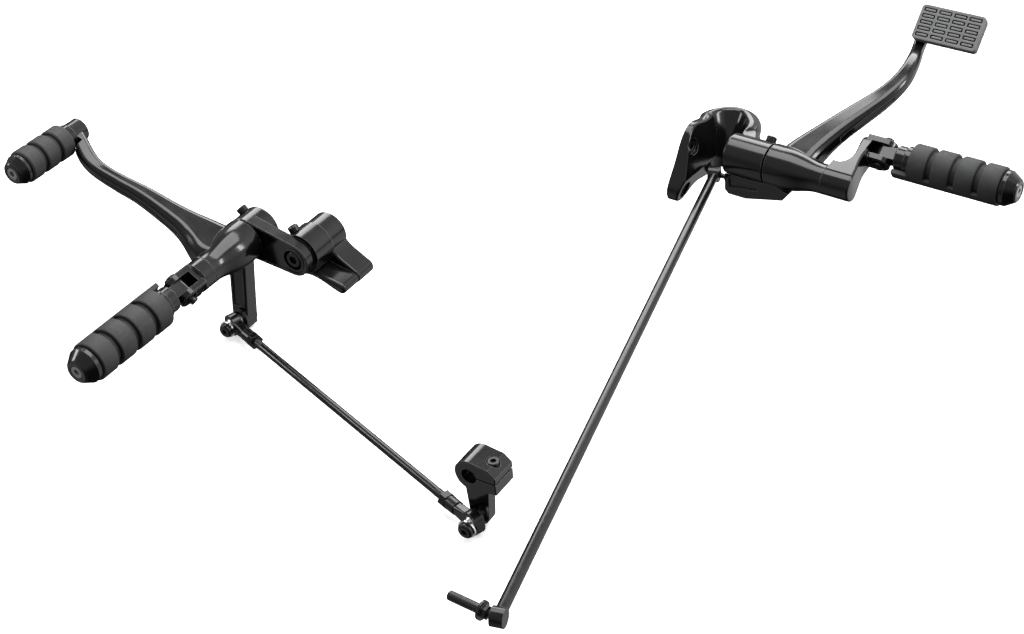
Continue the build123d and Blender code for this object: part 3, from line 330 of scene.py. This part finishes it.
def matt_rubber(name, dark, light, dust, closed, clear):
    """Moulded rubber: dark grey, mottled by handling, with fine pores, edges painted pale as a
    highlight, and grooves painted black as shade.

    closed and clear are the ambient occlusion levels at which a face is painted as black as a groove's
    shade and at which it keeps its own colour.
    """
    finish = Finish(name)
    finish.set(Metallic=0.0, IOR=1.5, Specular_IOR_Level=0.32)
    cloud = finish.noise(scale=55.0, detail=5.0, rough=0.6)
    pores = finish.noise(scale=1400.0, detail=3.0, rough=0.6)
    marks = finish.noise(scale=160.0, detail=3.0, rough=0.7, stretch=(1.0, 1.0, 3.0))
    edge, rounded = finish.edges(radius=0.0009, reach=0.2)
    base = finish.mixed(cloud, dark, light)
    dusty = finish.mixed(finish.between(marks, 0.55, 0.75, 0.0, 0.5), base, dust)
    # Painted highlight: a rubber's edges are mixed toward a paler grey.
    edge_highlight = tuple(RUBBER_EDGE_HIGHLIGHT_GAIN * c for c in light)
    open_face = finish.mixed(finish.scaled(edge, 0.55), dusty, edge_highlight)
    # Painted shade: faces near walls, in grooves and slots, are mixed toward black.
    unshaded_share = finish.between(finish.open(SLOT_REACH), closed, clear, 0.0, 1.0)
    finish.colour(finish.mixed(unshaded_share, PAINTED_GROOVE_SHADE, open_face))
    finish.roughness(finish.spread(pores, 0.5, 0.76))
    relief = finish.total(pores, finish.scaled(marks, 0.8))
    finish.bumps(relief, strength=0.45, distance=0.00012, normal=rounded)
    return finish.material


def satin_black(name, dark, light, shine):
    """Black oxide on small steel parts: dark satin with brushed specks and bright edges painted as a
    highlight.
    """
    finish = Finish(name)
    finish.set(Metallic=0.0, IOR=1.55, Specular_IOR_Level=shine)
    cloud = finish.noise(scale=120.0, detail=4.0, rough=0.6)
    grain = finish.noise(scale=2200.0, detail=2.0, rough=0.6)
    edge, rounded = finish.edges(radius=0.00045, reach=0.2)
    base = finish.mixed(cloud, dark, light)
    # Painted highlight: the edges are mixed toward pale grey.
    finish.colour(finish.mixed(finish.scaled(edge, 0.8), base, OXIDE_EDGE_HIGHLIGHT))
    finish.roughness(finish.spread(cloud, 0.16, 0.26))
    finish.bumps(grain, strength=0.2, distance=0.00004, normal=rounded)
    return finish.material


def bare_metal(name, dark, light, rough):
    """Turned bare metal with fine marks and a little tarnish."""
    finish = Finish(name)
    finish.set(Metallic=1.0)
    cloud = finish.noise(scale=200.0, detail=4.0, rough=0.6)
    lines = finish.noise(scale=2600.0, detail=1.0, rough=0.5, stretch=(0.15, 1.0, 1.0))
    finish.colour(finish.mixed(cloud, dark, light))
    finish.roughness(finish.spread(lines, rough - 0.06, rough + 0.08))
    finish.bumps(lines, strength=0.15, distance=0.00003)
    return finish.material


finishes = {
    "cast_black": gloss_black(
        "cast_black_coat", (0.0016, 0.0016, 0.0018), (0.0045, 0.0045, 0.0048),
        low_rough=0.1, high_rough=0.17, orange_peel=0.14,
    ),
    "forged_black": gloss_black(
        "forged_black_coat", (0.0016, 0.0016, 0.0018), (0.004, 0.004, 0.0043),
        low_rough=0.09, high_rough=0.15, orange_peel=0.07,
    ),
    "black_rubber": matt_rubber(
        "black_rubber_compound", (0.014, 0.0145, 0.0145), (0.032, 0.0325, 0.0325),
        dust=(0.05, 0.051, 0.05), closed=0.45, clear=0.93,
    ),
    "black_steel": satin_black(
        "black_oxide_steel", (0.002, 0.002, 0.0022), (0.007, 0.007, 0.0073), shine=0.3
    ),
    "bright_steel": bare_metal(
        "bright_turned_steel", (0.42, 0.42, 0.43), (0.62, 0.62, 0.63), rough=0.24
    ),
    "bronze": bare_metal("sintered_bronze", (0.36, 0.22, 0.1), (0.5, 0.33, 0.16), rough=0.36),
}

screw_finish = satin_black("worn_screw_steel", (0.16, 0.16, 0.163), (0.3, 0.3, 0.304), shine=0.6)
# The pad's rubber is painted much lighter all over as a sheen, with paler painted edge highlights and
# deeper painted shade in its slots.
sheen_painted_pad_finish = matt_rubber(
    "pad_rubber_painted_sheen", (0.09, 0.092, 0.091), (0.15, 0.153, 0.151),
    dust=(0.19, 0.192, 0.19), closed=0.62, clear=0.97,
)


def dress_nodes():
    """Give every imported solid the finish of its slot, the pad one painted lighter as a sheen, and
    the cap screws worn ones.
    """
    for name, node in nodes.items():
        for place in node.material_slots:
            old = place.material.name.split(".")[0] if place.material else ""
            if old in finishes:
                place.material = finishes[old]
            else:
                print("slot without a finish:", name, old)
    for name, finish in (
        ("brake_pedal_pad", sheen_painted_pad_finish),
        ("brake_peg_screw", screw_finish),
        ("shift_peg_screw", screw_finish),
        ("toe_peg_screw", screw_finish),
    ):
        for place in nodes[name].material_slots:
            place.material = finish


# Peg caps, in millimetres: turned with a band, a sharp shoulder and a cone down to the screw's socket

CAP_COLUMNS = 96
CAP_SHARP_ANGLE = 18
CAP_SPIGOT = 1.2
CAP_SOCKET = 3.95
CAP_MOUTH = 0.55                   # how much the socket's mouth is widened,
CAP_MOUTH_DEPTH = 0.45             # and how deep
CAP_EDGE = ((0.0, 1.0), (0.3, 0.3), (1.0, 0.0))
CAP_SHOULDER = (0.5, 0.35)
CAP_TIP = ((1.3, -0.75), (0.75, 0.0), (0.2, 0.5), (0.0, 1.1))


def cap_profile(start, end, band, radius, face, socket, spigot, hole):
    """The cap's section as (x, radius): its spigot, edge, band, shoulder, cone, tip and socket."""
    step, drop = CAP_SHOULDER
    return [
        (start - CAP_SPIGOT, hole), (start - CAP_SPIGOT, spigot), (start, spigot),
        *((start + x, radius - off) for x, off in CAP_EDGE),
        (start + band, radius), (start + band + step, radius - drop),
        *((end - x, face - off) for x, off in CAP_TIP),
        (end, socket + CAP_MOUTH), (end - CAP_MOUTH_DEPTH, socket),
        (end - CAP_SOCKET, socket), (end - CAP_SOCKET, hole),
    ]


def turned_cap(name, node, place, along, profile, body, slot):
    """A ring of the profile about the peg's axis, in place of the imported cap."""
    along = Vector(along).normalized()
    side = Vector((0, 0, 1)).cross(along).normalized()
    up = along.cross(side)
    points = []
    for x, radius in profile:
        for k in range(CAP_COLUMNS):
            turn = FULL_TURN * k / CAP_COLUMNS
            offset = (side * math.cos(turn) + up * math.sin(turn)) * radius
            points.append((Vector(place) + along * x + offset) * MM)
    faces = []
    for ring in range(len(profile)):
        this = ring * CAP_COLUMNS
        after = (ring + 1) % len(profile) * CAP_COLUMNS
        for k in range(CAP_COLUMNS):
            nxt = (k + 1) % CAP_COLUMNS
            faces.append((this + k, this + nxt, after + nxt, after + k))
    mesh = bpy.data.meshes.new(name)
    mesh.from_pydata(points, [], faces)
    mesh.validate()
    for face in mesh.polygons:
        face.use_smooth = True
    mesh.set_sharp_from_angle(angle=math.radians(CAP_SHARP_ANGLE))
    mesh.materials.append(finishes[slot])
    piece = bpy.data.objects.new(name, mesh)
    bpy.context.scene.collection.objects.link(piece)
    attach(piece, body)
    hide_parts(node)


def add_caps():
    peg = cap_profile(
        start=123.2, end=138.0, band=4.4, radius=17.2, face=10.8, socket=6.4, spigot=14.15, hole=4.05
    )
    toe = cap_profile(
        start=72.1, end=84.5, band=3.2, radius=14.8, face=10.0, socket=6.4, spigot=12.35, hole=4.05
    )
    brake_along = BRAKE_PEG_AXES[0]
    shift_along = SHIFT_PEG_AXES[0]
    for side, place, along, profile, body in (
        ("brake", BRAKE_PEG_PLACE, brake_along, peg, "brake_peg_body"),
        ("shift", SHIFT_PEG_PLACE, shift_along, peg, "shift_peg_body"),
        ("toe", TOE_PEG_PLACE, shift_along, toe, "shift_lever_body"),
    ):
        turned_cap(
            side + "_peg_turned_cap", side + "_peg_cap", place, along, profile, body, "forged_black"
        )


# Sleeves of the two foot pegs, in millimetres and degrees: rings with rounded edges, and one spine
# that runs across the grooves

SLEEVE_START, SLEEVE_END = 31.6, 122.0
SLEEVE_LEAD = 15.6
SLEEVE_INNER = 14.2
SLEEVE_SHARP_ANGLE = 40
RING_COUNT = 4
RING_PITCH = 24.0
RING_LENGTH = 18.4
RING_RADIUS = 19.0
GROOVE_RADIUS = 15.1
RING_EDGE = ((0.0, 1.4), (0.22, 0.75), (0.7, 0.25), (1.4, 0.0))
GROOVE = ((0.0, 0.35), (0.4, 0.0), (5.2, 0.0), (5.6, 0.35))
SPINE_LOW, SPINE_HIGH = 165.0, 221.0
SPINE_WIDTH = 56.0
SPINE_STEPS = 16
SPINE_MARGIN = 1.2
SPINE_FLANK = ((0.9, 0.08), (0.45, 0.4), (0.15, 0.85), (-0.3, 1.0))   # off the spine, share of it
OPEN_WIDTH = 304.0                 # the turn from the spine round to itself
OPEN_STEPS = 110
WELD = 2e-6                        # points nearer than this, in metres, are one


def sleeve_outline():
    """The section's points, each as (x, radius) in the grooves and (x, radius) along the spine."""
    inner_start = (SLEEVE_START, SLEEVE_INNER)
    points = [(inner_start, (SLEEVE_LEAD, SLEEVE_INNER))]
    for x, drop in RING_EDGE:
        points.append((inner_start, (SLEEVE_LEAD + x, RING_RADIUS - drop)))
    for ring in range(RING_COUNT):
        at_end = ring == RING_COUNT - 1
        first = SLEEVE_START + ring * RING_PITCH
        last = first + RING_LENGTH
        for x, drop in RING_EDGE:
            points.append(((first + x, RING_RADIUS - drop), (first + x, RING_RADIUS)))
        for x, drop in reversed(RING_EDGE):
            spine_drop = drop if at_end else 0.0
            points.append(((last - x, RING_RADIUS - drop), (last - x, RING_RADIUS - spine_drop)))
        if not at_end:
            for x, rise in GROOVE:
                points.append(((last + x, GROOVE_RADIUS + rise), (last + x, RING_RADIUS)))
    inner_end = (SLEEVE_END, SLEEVE_INNER)
    points.append((inner_end, inner_end))
    return points


def sleeve_columns():
    """The turns of the section, each with its share of the spine."""
    open_span = OPEN_WIDTH - 2 * SPINE_MARGIN
    columns = []
    for k in range(OPEN_STEPS + 1):
        columns.append((SPINE_HIGH + SPINE_MARGIN + k * open_span / OPEN_STEPS, 0.0))
    for turn, share in SPINE_FLANK:
        columns.append((SPINE_LOW + 360.0 - turn, share))
    for k in range(1, SPINE_STEPS):
        columns.append((SPINE_LOW + 360.0 + k * SPINE_WIDTH / SPINE_STEPS, 1.0))
    for turn, share in reversed(SPINE_FLANK):
        columns.append((SPINE_HIGH + 360.0 + turn, share))
    return columns


def ringed_sleeve(name, node, place, axes, body):
    """The outline turned round the peg's axis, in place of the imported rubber."""
    along, across, up = (Vector(axis) for axis in axes)
    place = Vector(place)
    outline = sleeve_outline()
    columns = sleeve_columns()
    points = []
    for turn, share in columns:
        angle = math.radians(turn)
        out = across * math.cos(angle) + up * math.sin(angle)
        for (groove_x, groove_radius), (spine_x, spine_radius) in outline:
            x = groove_x + (spine_x - groove_x) * share
            radius = groove_radius + (spine_radius - groove_radius) * share
            points.append((place + along * x + out * radius) * MM)
    count = len(outline)
    faces = []
    for column in range(len(columns)):
        this = column * count
        nxt = (column + 1) % len(columns) * count
        for k in range(count):
            after = (k + 1) % count
            faces.append((this + k, this + after, nxt + after, nxt + k))
    mesh = bpy.data.meshes.new(name)
    mesh.from_pydata(points, [], faces)
    clean = bmesh.new()
    clean.from_mesh(mesh)
    bmesh.ops.remove_doubles(clean, verts=clean.verts, dist=WELD)
    bmesh.ops.dissolve_degenerate(clean, edges=clean.edges, dist=WELD)
    bmesh.ops.recalc_face_normals(clean, faces=clean.faces)
    clean.to_mesh(mesh)
    clean.free()
    for face in mesh.polygons:
        face.use_smooth = True
    mesh.set_sharp_from_angle(angle=math.radians(SLEEVE_SHARP_ANGLE))
    mesh.materials.append(finishes["black_rubber"])
    piece = bpy.data.objects.new(name, mesh)
    bpy.context.scene.collection.objects.link(piece)
    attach(piece, body)
    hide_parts(node)


def add_sleeves():
    for side, place, axes in (
        ("brake", BRAKE_PEG_PLACE, BRAKE_PEG_AXES),
        ("shift", SHIFT_PEG_PLACE, SHIFT_PEG_AXES),
    ):
        ringed_sleeve(side + "_peg_sleeve", side + "_peg_rubber", place, axes, side + "_peg_body")


# Threads, in metres: ridges wound on the plain solids

THREAD_STEPS = 28                  # to a turn
THREAD_ROOT = -0.00008             # the ridges' feet are sunk in the solid
RIDGE_FOOT, RIDGE_CREST = 0.44, 0.08    # half widths, as shares of the pitch

STUD_THREAD_INSET = 0.0005
STUD_THREAD_LENGTH = 0.0265
ROD_THREAD_INSET = 0.0036
ROD_THREAD_LENGTH = 0.011
THREADED_RADIUS = 0.0039


def add_thread(name, start, direction, length, radius, pitch, depth, body):
    """One ridge wound from start, which fades in over the first turn and out over the last."""
    axis = Vector(direction).normalized()
    side = axis.orthogonal().normalized()
    other = axis.cross(side)
    start = Vector(start)
    steps = int(length / pitch * THREAD_STEPS)
    points = []
    for step in range(steps + 1):
        turn = FULL_TURN * step / THREAD_STEPS
        along = length * step / steps
        out = side * math.cos(turn) + other * math.sin(turn)
        crest = depth * min(1.0, step / THREAD_STEPS, (steps - step) / THREAD_STEPS)
        crest = crest if crest > 0 else THREAD_ROOT
        for offset, height in (
            (-RIDGE_FOOT, THREAD_ROOT), (-RIDGE_CREST, crest),
            (RIDGE_CREST, crest), (RIDGE_FOOT, THREAD_ROOT),
        ):
            reach = min(max(along + offset * pitch, 0.0), length)
            points.append(start + axis * reach + out * (radius + height))
    faces = []
    for step in range(steps):
        for k in range(3):
            a = step * 4 + k
            faces.append((a, a + 1, a + 5, a + 4))
    mesh = bpy.data.meshes.new(name)
    mesh.from_pydata(points, [], faces)
    for face in mesh.polygons:
        face.use_smooth = False
    mesh.materials.append(finishes["black_steel"])
    piece = bpy.data.objects.new(name, mesh)
    bpy.context.scene.collection.objects.link(piece)
    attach(piece, body)


def node_middle(name):
    low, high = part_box(name)
    return (low + high) / 2


def add_threads():
    stud_low, stud_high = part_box("brake_rod_rear_stud")
    middle = (stud_low + stud_high) / 2
    add_thread(
        "brake_rod_stud_thread", (stud_low.x + STUD_THREAD_INSET, middle.y, middle.z), (1, 0, 0),
        STUD_THREAD_LENGTH, THREADED_RADIUS, pitch=0.00125, depth=0.00016, body="brake_rod_stud_body",
    )
    front = node_middle("shift_rod_front_nut")
    rear = node_middle("shift_rod_rear_nut")
    along = (rear - front).normalized()
    for name, nut, direction in (("front", front, along), ("rear", rear, -along)):
        add_thread(
            "shift_rod_%s_thread" % name, nut + direction * ROD_THREAD_INSET, direction,
            ROD_THREAD_LENGTH, THREADED_RADIUS, pitch=0.0012, depth=0.00014, body="shift_rod_body",
        )


make_camera()
make_floor()
make_sky()
make_lamps()
bpy.context.scene.view_settings.view_transform = "Standard"
dress_nodes()
add_threads()
add_caps()
add_sleeves()
